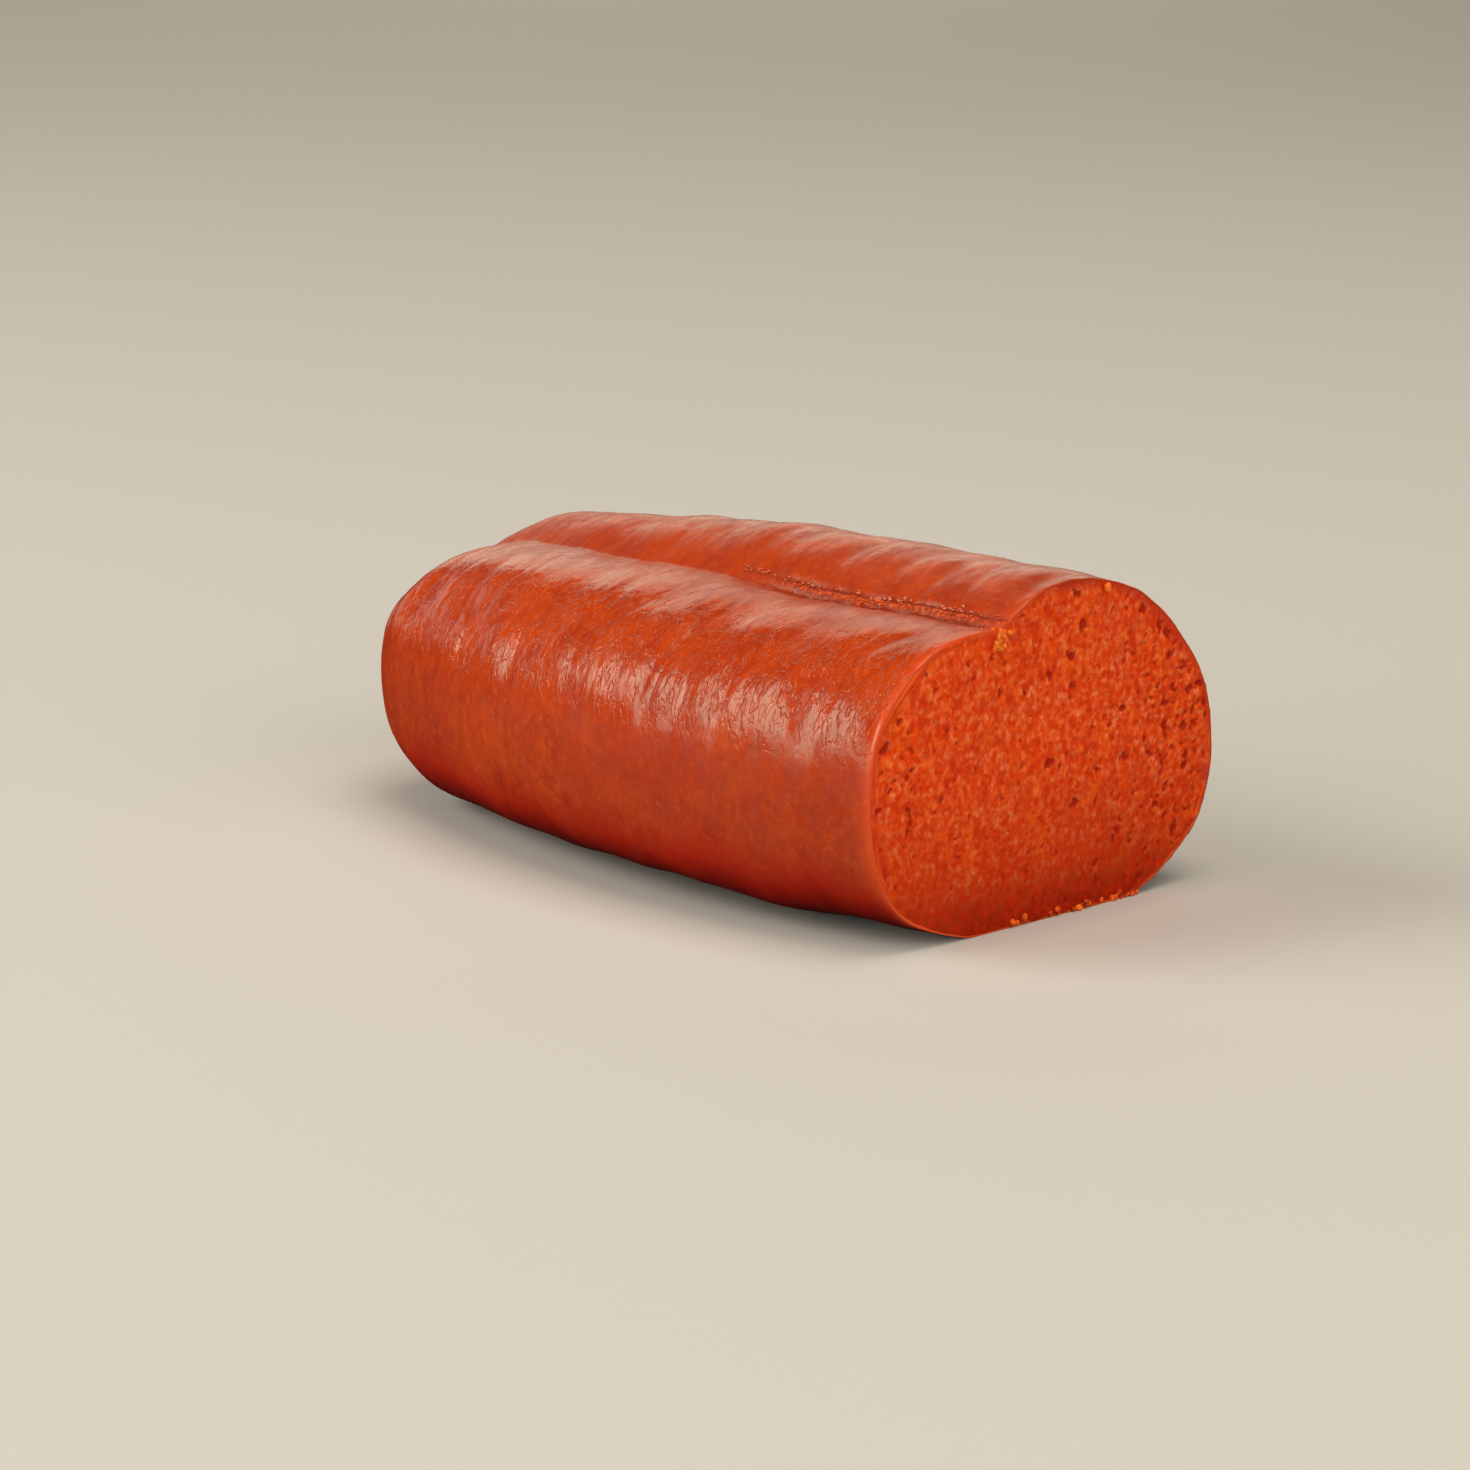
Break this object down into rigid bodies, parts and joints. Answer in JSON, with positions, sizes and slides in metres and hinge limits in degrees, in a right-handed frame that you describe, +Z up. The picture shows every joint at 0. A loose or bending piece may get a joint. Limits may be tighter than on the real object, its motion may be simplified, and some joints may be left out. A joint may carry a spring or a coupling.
{
  "type": "cut nduja sausage",
  "caption": "Soft, wide nduja in a natural casing, resting on its flattened underside, with a seam groove along the top and an end cut across that shows the coarse paste.",
  "frame": {"origin": "under the middle of the sausage, on the plane that it rests on", "axes": "+X along the sausage towards the cut face, +Z up, the lower of the two lobes on the -Y side"},
  "size_m": [0.2364, 0.1382, 0.0908],
  "materials": {
    "casing": "moist, thin natural casing over the paste, orange-red, glossy with fine wrinkles",
    "paste": "coarse, crumbly fat and chilli paste, orange, slightly moist"
  },
  "bodies": {
    "root": {"nduja": "casing"}
  },
  "joints": []
}
